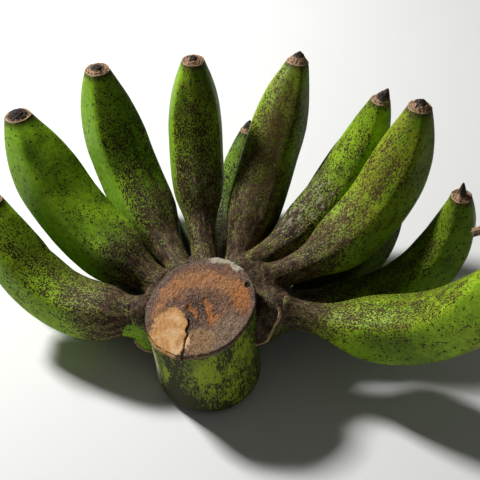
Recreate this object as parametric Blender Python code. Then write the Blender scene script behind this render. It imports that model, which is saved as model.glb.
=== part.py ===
"""A hand of green cooking bananas on a stub of its bunch stalk.

Metres, +Z up. The origin is the middle of the stub's flat foot, which stands on the surface
together with the bellies of the lower fingers. +Y points away from the slanting cut, towards
the fingers, and an azimuth is counted from +X towards +Y.

Each finger is a loft: soft five-sided rings carried along a curve that leaves the crown, sags
and then bends upwards, as a banana does while it grows towards the light.
"""

import math
from collections import namedtuple

import bmesh
import bpy
import numpy as np

MM = 0.001

# Stalk stub
STALK_RADIUS = 37.5 * MM
STALK_HEIGHT = 76 * MM
STALK_LEAN = 4.5 * MM
FOOT_ROUNDING = 9 * MM
CUT_ROUNDING = 1.5 * MM
CUT_SLOPE_RIGHT = math.tan(math.radians(14))
CUT_SLOPE_BACK = math.tan(math.radians(10.5))
STALK_SIDES = 32

# Crown, the cushion that carries the fingers. It follows the cut and so tilts to the right.
CROWN_REACH = 60 * MM
CROWN_CORE = 29 * MM
CROWN_MIDDLE = 40 * MM
CROWN_TILT = 0.15
CROWN_HALF_HEIGHT = 24.5 * MM
CROWN_FIRST_END = math.radians(-14)
CROWN_LAST_END = math.radians(187)
CROWN_TUCK = 0.36
CROWN_SIDES = 14
CROWN_SECTIONS = 20

# Bract scar, the thin dry rim under the crown
SCAR_THICKNESS = 2.6 * MM
SCAR_DEPTH_ANGLE = math.radians(-52)
SCAR_SIDES = 6
SCAR_SECTIONS = 30

# Stems and fingers
STEM_START = 53 * MM
STEM_RADIUS = 9.5 * MM
STEM_LENGTH = 13 * MM
STEM_ROOT = 9 * MM
STEM_FLARE = 0.22
STEM_FLARE_LENGTH = 5 * MM
JOINT_GAP = 0.3 * MM
FINGER_SIDES = 16
FINGER_RINGS = 15
RIDGE_ANGLES = [math.radians(a) for a in (48, 118, 180, 242, 312)]
RIDGE_WIDTH = math.radians(21)
RIDGE_HEIGHT = 0.11
FACE_LEVEL = 0.94
TAPER_START = 0.66
TIP_SHARE = 0.39
SHOULDER_SPREAD = 0.047

# Flower scar: a low dome that turns its face upwards, with the flower's remnant on it
SCAR_DOME = 2.2 * MM
SCAR_TILT = 0.6
SCAR_TILT_START = 0.88
SCAR_SHARES = (0.88, 0.6, 0.3)

# The long dried flower that one finger still carries. It stands up and bends over to the left.
FLOWER_BEARER = "upper_finger_9"
FLOWER_LENGTH = 47 * MM
FLOWER_RADIUS = 2.9 * MM
FLOWER_BEND = math.radians(128)
FLOWER_RINGS = 9

# The stem leaves the crown at `azimuth` and `height`. `heading` is where it points and `turn`
# how far the finger swings sideways along its `length`. `slope` is its angle to the ground at
# the crown and `rise` the angle at the tip. `girth` is its greatest diameter, `shoulder` the
# share of its length at which the stem swells. `nub` is the height of the flower's remnant,
# `cone` the share of the scar that it covers, and `lean` how far it leans to the right.
Finger = namedtuple(
    "Finger", "name azimuth height heading turn slope rise length girth shoulder nub cone lean"
)
FINGERS = [
    Finger("upper_finger_1", 165, 52, 169, -44, -22, 70, 148, 41, 0.03, 3, 0.5, 0),
    Finger("upper_finger_2", 129, 51, 147, -12, 4, 65, 166, 48, 0.15, 3, 0.8, 0),
    Finger("upper_finger_3", 109, 51, 115, 11, -5, 77, 182, 46, 0.24, 2, 0.5, 0),
    Finger("upper_finger_4", 92, 54, 98, -7, 17, 79, 158, 41, 0.31, 2, 0.45, 0),
    Finger("upper_finger_5", 70, 49, 76, -14, 20, 53, 169, 41, 0.20, 6, 1.0, 1),
    Finger("upper_finger_6", 57, 65, 45, -14, -5, 79, 166, 35, 0.27, 8, 0.9, 4),
    Finger("upper_finger_7", 41, 63, 14, 40, 7, 75, 172, 42, 0.26, 4, 0.9, 0),
    Finger("upper_finger_8", 28, 53, 8, 6, -31, 95, 190, 36, 0.18, 11, 0.5, 0),
    Finger("upper_finger_9", 10, 59, -9, -33, -13, 83, 196, 46, 0.22, 4, 0.5, 0),
    Finger("lower_finger_1", 153, 24, 145, 9, -23, 58, 141, 31, 0.30, 3, 0.5, 0),
    Finger("lower_finger_2", 125, 31, 130, -1, -28, 68, 162, 35, 0.21, 3, 0.5, 0),
    Finger("lower_finger_3", 100, 31, 113, 1, -24, 59, 174, 36, 0.20, 3, 0.5, 0),
    Finger("lower_finger_4", 79, 32, 94, -26, -27, 58, 163, 35, 0.22, 7, 0.9, 0),
    Finger("lower_finger_5", 60, 34, 56, -14, -9, 64, 177, 36, 0.22, 3, 0.5, 0),
    Finger("lower_finger_6", 35, 33, 40, 2, -31, 69, 155, 36, 0.22, 3, 0.5, 0),
]

GREEN_PEEL = ("green_peel", "#6F9A2B", 0.5)
DARK_PEEL = ("green_peel_in_the_shade", "#5A8426", 0.5)
STALK_RIND = ("stalk_rind", "#5E6B2E", 0.6)


def clear_scene():
    for found in list(bpy.data.objects):
        bpy.data.objects.remove(found, do_unlink=True)


def linear(code):
    """An sRGB colour such as '#6F9A2B' as linear red, green, blue and alpha."""
    parts = [int(code[i:i + 2], 16) / 255 for i in (1, 3, 5)]
    return [c / 12.92 if c <= 0.04045 else ((c + 0.055) / 1.055) ** 2.4 for c in parts] + [1.0]


def make_material(name, code, roughness):
    material = bpy.data.materials.get(name)
    if material is None:
        material = bpy.data.materials.new(name)
        material.use_nodes = True
        shader = material.node_tree.nodes["Principled BSDF"]
        shader.inputs["Base Color"].default_value = linear(code)
        shader.inputs["Roughness"].default_value = roughness
        shader.inputs["Metallic"].default_value = 0.0
    return material


def ease(x):
    """0 below 0, 1 above 1, and a smooth step between."""
    x = np.clip(x, 0, 1)
    return x * x * (3 - 2 * x)


def directions(finger, share):
    """Unit vectors along the finger and level across it, at the given shares of its length."""
    bend = 0.5 * ease(share) + 0.5 * share
    slope = np.radians(finger.slope + (finger.rise - finger.slope) * bend)
    heading = np.radians(finger.heading + finger.turn * share)
    flat = np.cos(slope)
    along = np.stack([flat * np.cos(heading), flat * np.sin(heading), np.sin(slope)], axis=-1)
    level = np.stack([-np.sin(heading), np.cos(heading), np.zeros_like(heading)], axis=-1)
    return along, level


def centre_line(finger, shares):
    """Points of the finger's centre line, summed from small straight steps."""
    steps = 160
    middles = (np.arange(steps) + 0.5) / steps
    length = finger.length * MM
    azimuth = math.radians(finger.azimuth)
    base = np.array([STEM_START * math.cos(azimuth), STEM_START * math.sin(azimuth), finger.height * MM])
    walked = np.vstack([np.zeros(3), np.cumsum(directions(finger, middles)[0], axis=0)]) * length / steps
    knots = np.linspace(0, 1, steps + 1)
    ahead = np.clip(shares, 0, 1)
    points = base + np.stack([np.interp(ahead, knots, walked[:, k]) for k in range(3)], axis=-1)
    before = np.minimum(shares, 0)[:, None] * length
    return points + before * directions(finger, np.zeros(len(shares)))[0]


def thickness(finger, shares):
    """Radius along the finger: a stem flared at its root, a quick swelling and a drawn-in tip."""
    def swell(at):
        return 1 / (1 + np.exp(-(at - finger.shoulder) / SHOULDER_SPREAD))
    start = swell(0.0)
    full = finger.girth * MM / 2
    radius = STEM_RADIUS + (full - STEM_RADIUS) * (swell(np.maximum(shares, 0)) - start) / (1 - start)
    drawn_in = np.clip((shares - TAPER_START) / (1 - TAPER_START), 0, 1) ** 1.9
    flare = STEM_FLARE * np.exp(-np.maximum(shares, 0) * finger.length * MM / STEM_FLARE_LENGTH)
    return radius * (1 - (1 - TIP_SHARE) * drawn_in) * (1 + flare)


def five_sided(angles, strength):
    """How far a ring stands out at each angle: five soft ridges, fading as strength goes to 0."""
    outline = np.full_like(angles, FACE_LEVEL)
    for ridge in RIDGE_ANGLES:
        away = (angles - ridge + math.pi) % (2 * math.pi) - math.pi
        outline += RIDGE_HEIGHT * np.exp(-(away / RIDGE_WIDTH) ** 2)
    return 1 + (outline - 1) * strength


def rings_along(finger, shares, sides):
    """Rings round the centre line, the first point of each on the finger's hollow upper side."""
    points = centre_line(finger, shares)
    along, level = directions(finger, np.clip(shares, 0, 1))
    upper = np.cross(along, level)
    angles = np.arange(sides) * 2 * math.pi / sides
    strength = ease(shares / 0.3) * (1 - 0.6 * ease((shares - 0.85) / 0.15))
    radius = thickness(finger, shares)[:, None] * five_sided(angles[None, :], strength[:, None])
    outward = (
        np.cos(angles)[None, :, None] * upper[:, None, :]
        + np.sin(angles)[None, :, None] * level[:, None, :]
    )
    turned = scar_tilt(finger) * ease((shares - SCAR_TILT_START) / (1 - SCAR_TILT_START))
    slant = -np.tan(turned)[:, None] * radius * np.cos(angles)[None, :]
    return points[:, None, :] + radius[:, :, None] * outward + slant[:, :, None] * along[:, None, :]


def scar_tilt(finger):
    """How far the flower scar is turned from square across the tip towards level."""
    return SCAR_TILT * math.radians(90 - finger.rise)


def scar_rise(finger, share):
    """Height of the scar's dome and of the remnant on it, at a share of the scar's radius."""
    remnant = max(0, 1 - share / finger.cone) ** 1.2
    return SCAR_DOME * (1 - share ** 2) + finger.nub * MM * remnant


def tip_rings(finger, last_ring):
    """The flower scar at the tip, which carries on from the peel and ends in the remnant."""
    middle = last_ring.mean(axis=0)
    along, level = directions(finger, np.array([1.0]))
    upper = np.cross(along, level)[0]
    facing = math.cos(scar_tilt(finger)) * along[0] + math.sin(scar_tilt(finger)) * upper
    spokes = last_ring - middle
    lean = np.array([finger.lean * MM, 0, 0])
    rings = []
    for share in SCAR_SHARES:
        rings.append(middle + share * spokes + scar_rise(finger, share) * facing + (1 - share) * lean)
    if finger.name == FLOWER_BEARER:
        more, end = dried_flower(middle + scar_rise(finger, SCAR_SHARES[-1]) * facing, along[0], spokes)
        return np.array(rings + more), end
    return np.array(rings), middle + scar_rise(finger, 0) * facing + lean


def dried_flower(root, along, spokes):
    """Rings of the dried flower, whose stalk turns from the tip's direction towards -X."""
    side = np.array([-1.0, 0.0, 0.0]) + along[0] * along
    side /= np.linalg.norm(side)
    leaning = (spokes @ side)[:, None]
    across = spokes - leaning * side
    scale = FLOWER_RADIUS / np.linalg.norm(spokes, axis=1).mean()
    point = root
    rings = []
    for k in range(FLOWER_RINGS):
        bend = FLOWER_BEND * ((k + 0.5) / FLOWER_RINGS) ** 1.5
        forward = math.cos(bend) * along + math.sin(bend) * side
        sideways = math.cos(bend) * side - math.sin(bend) * along
        point = point + forward * FLOWER_LENGTH / FLOWER_RINGS
        rings.append(point + scale * (leaning * sideways + across))
    return rings, point + forward * FLOWER_RADIUS / 2


def closed_loft(name, rings, first_pole, last_pole):
    """A mesh from rings of the same number of points, closed by a fan at each end."""
    count, sides = rings.shape[:2]
    mesh = bpy.data.meshes.new(name)
    loft = bmesh.new()
    rows = [[loft.verts.new(point) for point in ring] for ring in rings]
    for row, following in zip(rows, rows[1:]):
        for k in range(sides):
            n = (k + 1) % sides
            loft.faces.new((row[k], row[n], following[n], following[k]))
    for pole, row in ((first_pole, rows[0]), (last_pole, rows[-1])):
        point = loft.verts.new(pole)
        for k in range(sides):
            loft.faces.new((point, row[k], row[(k + 1) % sides]))
    bmesh.ops.recalc_face_normals(loft, faces=loft.faces)
    loft.to_mesh(mesh)
    loft.free()
    mesh.shade_smooth()
    mesh.set_sharp_from_angle(angle=math.radians(50))
    return mesh


def add_object(name, mesh, collection, material):
    made = bpy.data.objects.new(name, mesh)
    made.data.materials.append(make_material(*material))
    collection.objects.link(made)
    return made


def add_finger(finger, collection):
    """One finger, from its stem to the remnant of its flower. Its belly is flat where it rests."""
    begin = (STEM_LENGTH + JOINT_GAP) / (finger.length * MM)
    shares = begin + (1 - begin) * np.linspace(0, 1, FINGER_RINGS)
    body = rings_along(finger, shares, FINGER_SIDES)
    tip, end = tip_rings(finger, body[-1])
    rings = np.concatenate([body, tip])
    rings[..., 2] = np.maximum(rings[..., 2], 0)
    mesh = closed_loft(finger.name, rings, body[0].mean(axis=0), end)
    material = GREEN_PEEL if finger.name.startswith("upper") else DARK_PEEL
    return add_object(finger.name, mesh, collection, material)


def stalk_mesh():
    """The stub: round rings from the rounded foot up to the slanting cut, which leans left."""
    angles = np.arange(STALK_SIDES) * 2 * math.pi / STALK_SIDES
    turns = np.radians([0, 30, 60, 90])
    foot = [(STALK_RADIUS - FOOT_ROUNDING * (1 - math.sin(a)), FOOT_ROUNDING * (1 - math.cos(a))) for a in turns]
    wall = [(STALK_RADIUS * (1 - 0.02 * math.sin(math.pi * s)), s) for s in (0.35, 0.6, 0.85)]
    rings = []
    for radius, z in foot:
        rings.append(np.stack([radius * np.cos(angles), radius * np.sin(angles), np.full(STALK_SIDES, z)], axis=-1))
    for radius, share in wall + [(STALK_RADIUS, 1.0)]:
        x = radius * np.cos(angles) - STALK_LEAN * share
        y = radius * np.sin(angles)
        cut = STALK_HEIGHT - CUT_ROUNDING + CUT_SLOPE_RIGHT * x + CUT_SLOPE_BACK * y
        rings.append(np.stack([x, y, FOOT_ROUNDING + (cut - FOOT_ROUNDING) * share], axis=-1))
    inner = rings[-1].copy()
    middle = np.array([-STALK_LEAN, 0, STALK_HEIGHT - CUT_SLOPE_RIGHT * STALK_LEAN])
    inner = inner + (inner.mean(axis=0) - inner) * CUT_ROUNDING / STALK_RADIUS + [0, 0, CUT_ROUNDING]
    rings.append(inner)
    return closed_loft("stalk", np.array(rings), (0, 0, 0), middle)


def crown_middle(azimuth):
    """The middle of the cushion's section at an azimuth."""
    x = CROWN_CORE * math.cos(azimuth)
    return np.array([x, CROWN_CORE * math.sin(azimuth), CROWN_MIDDLE + CROWN_TILT * x])


def crown_section(share, angles):
    """Points of the cushion's rounded section, at a share of the way round from its right end.

    The section is full in the middle, rounded off at both ends and tucked in low at the right.
    """
    azimuth = CROWN_FIRST_END + (CROWN_LAST_END - CROWN_FIRST_END) * share
    reach = (1 - abs(2 * share - 1) ** 6) ** 0.5
    tuck = CROWN_TUCK * ease((0.32 - share) / 0.3) * ease((0.35 - np.sin(angles)) / 0.9)
    out = (CROWN_REACH - CROWN_CORE) * reach * (1 - tuck) * np.cos(angles)
    up = CROWN_HALF_HEIGHT * reach * (1 - tuck) * np.sin(angles)
    return crown_middle(azimuth) + np.stack([out * math.cos(azimuth), out * math.sin(azimuth), up], axis=-1)


def crown_mesh():
    """The cushion: a bent bolster round the back of the stalk."""
    shares = np.sin(np.linspace(-0.47, 0.47, CROWN_SECTIONS) * math.pi) / 2 + 0.5
    angles = np.arange(CROWN_SIDES) * 2 * math.pi / CROWN_SIDES
    rings = [crown_section(s, angles) for s in shares]
    return closed_loft("crown", np.array(rings), crown_middle(CROWN_FIRST_END), crown_middle(CROWN_LAST_END))


def scar_mesh():
    """The bract scar: a thin rim along the cushion's lower outer side, run out at both ends."""
    angles = np.arange(SCAR_SIDES) * 2 * math.pi / SCAR_SIDES
    rings = []
    for s in np.linspace(0.015, 0.985, SCAR_SECTIONS):
        azimuth = CROWN_FIRST_END + (CROWN_LAST_END - CROWN_FIRST_END) * s
        middle = crown_section(s, np.array([SCAR_DEPTH_ANGLE]))
        out = SCAR_THICKNESS / 2 * np.cos(angles)
        up = SCAR_THICKNESS / 2 * np.sin(angles)
        rings.append(middle + np.stack([out * math.cos(azimuth), out * math.sin(azimuth), up], axis=-1))
    return closed_loft("bract_scar", np.array(rings), rings[0].mean(axis=0), rings[-1].mean(axis=0))


def stem_root_mesh(finger):
    """The root of a finger's stem, from inside the cushion to where the finger begins."""
    length = finger.length * MM
    shares = np.array([-STEM_ROOT, 0, STEM_LENGTH / 2, STEM_LENGTH]) / length
    rings = rings_along(finger, shares, FINGER_SIDES)
    return closed_loft("stem_root", rings, rings[0].mean(axis=0), rings[-1].mean(axis=0))


def add_stalk(collection, cutters):
    """The stub, the cushion, the scar and the stem roots, joined into one solid."""
    stalk = add_object("stalk_and_crown", stalk_mesh(), collection, STALK_RIND)
    meshes = [crown_mesh(), scar_mesh()] + [stem_root_mesh(finger) for finger in FINGERS]
    for mesh in meshes:
        piece = bpy.data.objects.new(mesh.name, mesh)
        piece.hide_render = True
        piece.display_type = "WIRE"
        cutters.objects.link(piece)
    union = stalk.modifiers.new("join_crown_and_stems", "BOOLEAN")
    union.operation = "UNION"
    union.operand_type = "COLLECTION"
    union.collection = cutters
    union.solver = "EXACT"
    graph = bpy.context.evaluated_depsgraph_get()
    joined = bpy.data.meshes.new_from_object(stalk.evaluated_get(graph))
    stalk.modifiers.clear()
    stalk.data = joined
    joined.shade_smooth()
    joined.set_sharp_from_angle(angle=math.radians(50))
    for piece in list(cutters.objects):
        bpy.data.objects.remove(piece, do_unlink=True)
    bpy.data.collections.remove(cutters)
    return stalk


def main():
    clear_scene()
    hand = bpy.data.collections.new("banana_hand")
    cutters = bpy.data.collections.new("joined_pieces")
    for collection in (hand, cutters):
        bpy.context.scene.collection.children.link(collection)
    add_stalk(hand, cutters)
    for finger in FINGERS:
        add_finger(finger, hand)


main()
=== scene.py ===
"""Dresses a hand of green cooking bananas that stands on the stub of its bunch stalk.

Every piece is a surface computed on a grid: the peel of each finger, the flower scar at its tip,
the crown that carries the fingers, the dry rims on it, and the stalk's rind and cut face.
"""

import math
from collections import namedtuple
from functools import partial

import bpy
import numpy as np
from bpy.props import FloatProperty, FloatVectorProperty, IntProperty, PointerProperty
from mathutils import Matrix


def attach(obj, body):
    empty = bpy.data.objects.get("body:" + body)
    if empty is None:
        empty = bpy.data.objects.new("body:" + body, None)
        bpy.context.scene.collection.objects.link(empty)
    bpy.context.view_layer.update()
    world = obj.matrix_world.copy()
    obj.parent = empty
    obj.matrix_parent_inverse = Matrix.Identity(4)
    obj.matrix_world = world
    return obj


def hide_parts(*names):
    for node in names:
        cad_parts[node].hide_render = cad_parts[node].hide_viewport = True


bl_info = {
    "name": "Green Cooking Bananas",
    "version": (1, 0, 0),
    "blender": (4, 5, 0),
    "location": "3D View > Sidebar > Bananas",
    "description": "Builds the peels, flower scars, crown and stalk of a hand of cooking bananas",
    "category": "Object",
}

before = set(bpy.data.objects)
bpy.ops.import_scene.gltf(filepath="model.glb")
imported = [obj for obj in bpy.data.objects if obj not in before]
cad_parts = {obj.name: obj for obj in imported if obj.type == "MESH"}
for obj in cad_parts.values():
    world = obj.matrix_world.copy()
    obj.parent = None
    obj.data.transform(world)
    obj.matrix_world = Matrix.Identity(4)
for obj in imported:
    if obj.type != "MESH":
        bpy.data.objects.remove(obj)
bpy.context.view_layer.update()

MM = 0.001

# The finger table, as in the solid model, in millimetres and degrees. Azimuth and height: where its
# stem leaves the crown. Heading, and how far it turns up to the tip. Slope at the stem and rise at
# the tip. Length and girth. Shoulder: the share of the length where it has swollen to half. Nub and
# cone: height and relative width of the dead flower's remnant. Lean: how far that leans to +X.
Finger = namedtuple(
    "Finger", "name azimuth height heading turn slope rise length girth shoulder nub cone lean"
)
FINGERS = [
    Finger("upper_finger_1", 165, 52, 169, -44, -22, 70, 148, 41, 0.03, 3, 0.5, 0),
    Finger("upper_finger_2", 129, 51, 147, -12, 4, 65, 166, 48, 0.15, 3, 0.8, 0),
    Finger("upper_finger_3", 109, 51, 115, 11, -5, 77, 182, 46, 0.24, 2, 0.5, 0),
    Finger("upper_finger_4", 92, 54, 98, -7, 17, 79, 158, 41, 0.31, 2, 0.45, 0),
    Finger("upper_finger_5", 70, 49, 76, -14, 20, 53, 169, 41, 0.20, 6, 1.0, 1),
    Finger("upper_finger_6", 57, 65, 45, -14, -5, 79, 166, 35, 0.27, 8, 0.9, 4),
    Finger("upper_finger_7", 41, 63, 14, 40, 7, 75, 172, 42, 0.26, 4, 0.9, 0),
    Finger("upper_finger_8", 28, 53, 8, 6, -31, 95, 190, 36, 0.18, 11, 0.5, 0),
    Finger("upper_finger_9", 10, 59, -9, -33, -13, 83, 196, 46, 0.22, 4, 0.5, 0),
    Finger("lower_finger_1", 153, 24, 145, 9, -23, 58, 141, 31, 0.30, 3, 0.5, 0),
    Finger("lower_finger_2", 125, 31, 130, -1, -28, 68, 162, 35, 0.21, 3, 0.5, 0),
    Finger("lower_finger_3", 100, 31, 113, 1, -24, 59, 174, 36, 0.20, 3, 0.5, 0),
    Finger("lower_finger_4", 79, 32, 94, -26, -27, 58, 163, 35, 0.22, 7, 0.9, 0),
    Finger("lower_finger_5", 60, 34, 56, -14, -9, 64, 177, 36, 0.22, 3, 0.5, 0),
    Finger("lower_finger_6", 35, 33, 40, 2, -31, 69, 155, 36, 0.22, 3, 0.5, 0),
]

# Shapes shared by all fingers, as in the solid model. Only the stem's root is shorter here and is
# drawn in over its first millimetres, because the crown's skin covers it.
STEM_START = 53 * MM
STEM_RADIUS = 9.5 * MM
STEM_ROOT = 6 * MM
STEM_ROOT_SHARE = 0.72
STEM_ROOT_SWELL = 5 * MM
STEM_FLARE = 0.22
STEM_FLARE_LENGTH = 5 * MM
TAPER_START = 0.66
TIP_SHARE = 0.39
SHOULDER_SPREAD = 0.047
RIDGE_ANGLES = np.radians([48, 118, 180, 242, 312])
FACE_LEVEL = 0.94
SCAR_DOME = 2.2 * MM
SCAR_TILT = 0.6
SCAR_TILT_START = 0.88
FLOWER_BEARER = "upper_finger_9"
FLOWER_LENGTH = 47 * MM
FLOWER_RADIUS = 2.9 * MM
FLOWER_BEND = math.radians(128)
CENTRE_LINE_STEPS = 160

# Flower scars in the scene alone: points round one, its grooves in radians over its radius, and the
# rows left out in the middle of the scar that still bears its flower
SCAR_SIDES = 96
SCAR_GROOVES = 42
FLOWER_BED_ROWS = 16

# Crown and stalk, as in the solid model
CROWN_REACH = 60 * MM
CROWN_CORE = 29 * MM
CROWN_MIDDLE = 40 * MM
CROWN_TILT = 0.15
CROWN_HALF_HEIGHT = 24.5 * MM
CROWN_FIRST_END = math.radians(-14)
CROWN_LAST_END = math.radians(187)
CROWN_TUCK = 0.36

# The crown's skin in the scene: its grid, how far out the search for the blend with the stems
# starts, how wide the webs in the creases are, and how often each point sinks
CROWN_SECTIONS = 300
CROWN_SIDES = 120
WEB_START = 14 * MM
WEB_WIDTH = 2.7 * MM
WEB_PASSES = 14

# Routes of the dry rims on the crown: azimuth, angle round its section, and how dead the rim is
BRACT_SCAR_ROUTES = {
    "bract_scar_below": (
        (-4, -55, 0), (10, -48, 0), (40, -52, 0), (148, -52, 0), (162, -44, 0),
        (169, -28, 0), (173, -22, 0), (177, -27, 0), (181, -36, 0), (184.5, -48, 0),
    ),
    "bract_scar_on_the_right": (
        (-13.4, -30, 0), (-12.5, 0, 0), (-10.5, 18, 0), (-9, 30, 0),
        (-3, 46, 0), (2, 54, 0.2), (7, 60, 0.9), (13, 66, 1.0),
    ),
}
BRACT_SCAR_HALF_WIDTH = 1.5 * MM
BRACT_SCAR_HALF_HEIGHT = 0.95 * MM
BRACT_SCAR_SINK = 0.2 * MM
BRACT_SCAR_SMOOTHING = 15

# The stalk
STALK_RADIUS = 37.5 * MM
STALK_HEIGHT = 76 * MM
STALK_LEAN = 4.5 * MM
FOOT_ROUNDING = 9 * MM
CUT_SLOPE_RIGHT = math.tan(math.radians(14))
CUT_SLOPE_BACK = math.tan(math.radians(10.5))

# Smooth noise: its table of random values, and the primes that pick one for a lattice corner
NOISE_VALUES = 4096
NOISE_PRIMES = (73856093, 19349663, 83492791)

# The stage, in metres: the camera at the photograph's angle, a small key light behind on the left
# for firm shade between the fingers, and a large weak light in front
FLOOR_HALF = 3.0
CAMERA_PLACE = (0.0223, -0.4622, 0.5985)
CAMERA_TILT = math.radians(45)
CAMERA_LENS = 78.19
CAMERA_SENSOR = 36
KEY_LIGHT_PLACE = (-0.78, 0.66, 1.05)
KEY_LIGHT_SIZE = 0.22
FILL_LIGHT_PLACE = (0.5, -1.3, 0.5)
FILL_LIGHT_SIZE = 1.2
LIGHT_TARGET = (0.0, 0.04, 0.05)

# Brightness of the peel's colours: the lower row is a deeper green and is darkened further as
# painted shade, to look as dark as it does under the upper one
UPPER_BRIGHTNESS = 1.0
LOWER_BRIGHTNESS_WITH_PAINTED_SHADE = 0.6
CROWN_BRIGHTNESS = 0.95

# What marks each finger, from 0 to 1: dark speckles, how far the neck's brown runs, how clean the
# faces on its left and on its right are, how rubbed it is, how yellow its green is, how dirty it is
# and how dark its right side is painted as shade, and how much of its flower scar is dead
Marks = namedtuple("Marks", "speckles neck left_clean right_clean worn yellow grime dead")
PEEL_MARKS = {
    "upper_finger_1": Marks(0.66, 0.45, 0.30, 0.20, 0.1, 0.3, 0.0, 0.5),
    "upper_finger_2": Marks(0.36, 0.40, 0.75, 0.10, 0.1, 0.0, 0.0, 0.8),
    "upper_finger_3": Marks(0.66, 0.55, 0.95, 0.00, 0.1, 0.1, 0.9, 0.55),
    "upper_finger_4": Marks(0.70, 0.80, 0.80, 0.10, 0.3, 0.4, 0.5, 0.4),
    "upper_finger_5": Marks(0.74, 0.76, 0.50, 0.15, 0.2, 0.7, 1.0, 0.50),
    "upper_finger_6": Marks(0.56, 0.80, 0.20, 0.30, 0.7, 0.3, 0.0, 0.7),
    "upper_finger_7": Marks(0.66, 0.60, 0.10, 0.30, 0.2, 0.8, 0.3, 0.5),
    "upper_finger_8": Marks(0.62, 0.35, 0.10, 0.30, 0.1, 0.2, 0.9, 0.45),
    "upper_finger_9": Marks(0.70, 0.18, 0.10, 0.40, 0.1, 0.5, 0.0, 0.5),
}
# The lower row's high dirt and shade value is mostly painted shade under the upper row
LOWER_MARKS = Marks(0.55, 0.80, 0.10, 0.10, 0.1, 0.0, 0.8, 0.7)


def linear(code):
    """An sRGB colour such as '#6F9A2B' as linear red, green and blue, and full opacity."""
    parts = [int(code[i:i + 2], 16) / 255 for i in (1, 3, 5)]
    return (*(c / 12.92 if c <= 0.04045 else ((c + 0.055) / 1.055) ** 2.4 for c in parts), 1.0)


def colour_property(name, description, code):
    """A colour setting with its default as an sRGB code."""
    return FloatVectorProperty(
        name=name, description=description, default=linear(code),
        subtype="COLOR", size=4, min=0, max=1,
    )


def length_property(name, description, metres):
    """A length setting with its default in metres."""
    return FloatProperty(
        name=name, description=description, default=metres, min=0.00001, unit="LENGTH", precision=5
    )


class BananaPeelSettings(bpy.types.PropertyGroup):
    """Shape, markings and colours of the peel"""

    ridge_width: FloatProperty(
        name="Ridge width", description="Half width of a ridge round the finger",
        default=math.radians(17), subtype="ANGLE",
    )
    ridge_height: FloatProperty(
        name="Ridge height", description="How far a ridge stands out, as a share of the radius",
        default=0.115, subtype="FACTOR", min=0, max=0.3,
    )
    lump_height: length_property("Lump height", "Height of the peel's soft unevenness", 0.35 * MM)
    speckle_size: length_property("Speckle size", "Width of a dark speckle", 1.0 * MM)
    dot_spacing: length_property("Dot spacing", "Distance between dots on a clean face", 4.4 * MM)
    patch_size: length_property("Patch size", "Width of a light or dark patch of green", 26 * MM)
    rings: IntProperty(name="Rings", description="Rings along a finger", default=200, min=20)
    sides: IntProperty(name="Sides", description="Points round a finger", default=96, min=16)
    bright: colour_property("Bright green", "Peel in its lightest patches", "#96C022")
    middle: colour_property("Green", "Most of the peel", "#7BA318")
    deep: colour_property("Deep green", "Peel in its darkest patches", "#557A10")
    pale: colour_property("Waxy green", "Clean faces with their wax on", "#82AC26")
    speckle: colour_property("Speckle", "Dark speckles", "#2E2314")
    sunned_speckle: colour_property("Sunned speckle", "Speckles on yellowed green", "#54401E")
    neck: colour_property("Neck brown", "Weathered skin of the neck", "#4E392C")
    neck_dark: colour_property("Dark neck brown", "Dirt in the neck's wrinkles", "#2C201A")
    neck_light: colour_property("Light neck brown", "Rubbed high spots of the neck", "#705A48")
    sunned: colour_property("Sunned green", "Peel that turns yellow in the sun", "#9A9724")
    fleck: colour_property("Fleck", "Yellow green flecks left in the brown", "#858C42")
    worn: colour_property("Worn", "Grey rubbed streaks", "#A0968A")
    crack: colour_property("Crack", "Cracks in a rubbed place", "#241B15")
    collar: colour_property("Collar edge", "Peel that dries next to the flower scar", "#3B2E1C")


class BananaScarSettings(bpy.types.PropertyGroup):
    """Colours of the flower scars, and the dried flower"""

    rim: colour_property("Scar rim", "Dry collar of the flower scar", "#BB9A76")
    ring: colour_property("Scar ring", "Darker rings inside the collar", "#6E4F38")
    centre: colour_property("Scar centre", "Dead middle of the scar", "#251A16")
    flake: colour_property("Flake", "Light flakes of the dry collar", "#DCC3A2")
    crack_size: length_property("Crack size", "Distance between the cracks of a dry scar", 1.6 * MM)
    flower_sides: IntProperty(
        name="Flower sides", description="Points round the dried flower", default=40, min=12
    )


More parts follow.
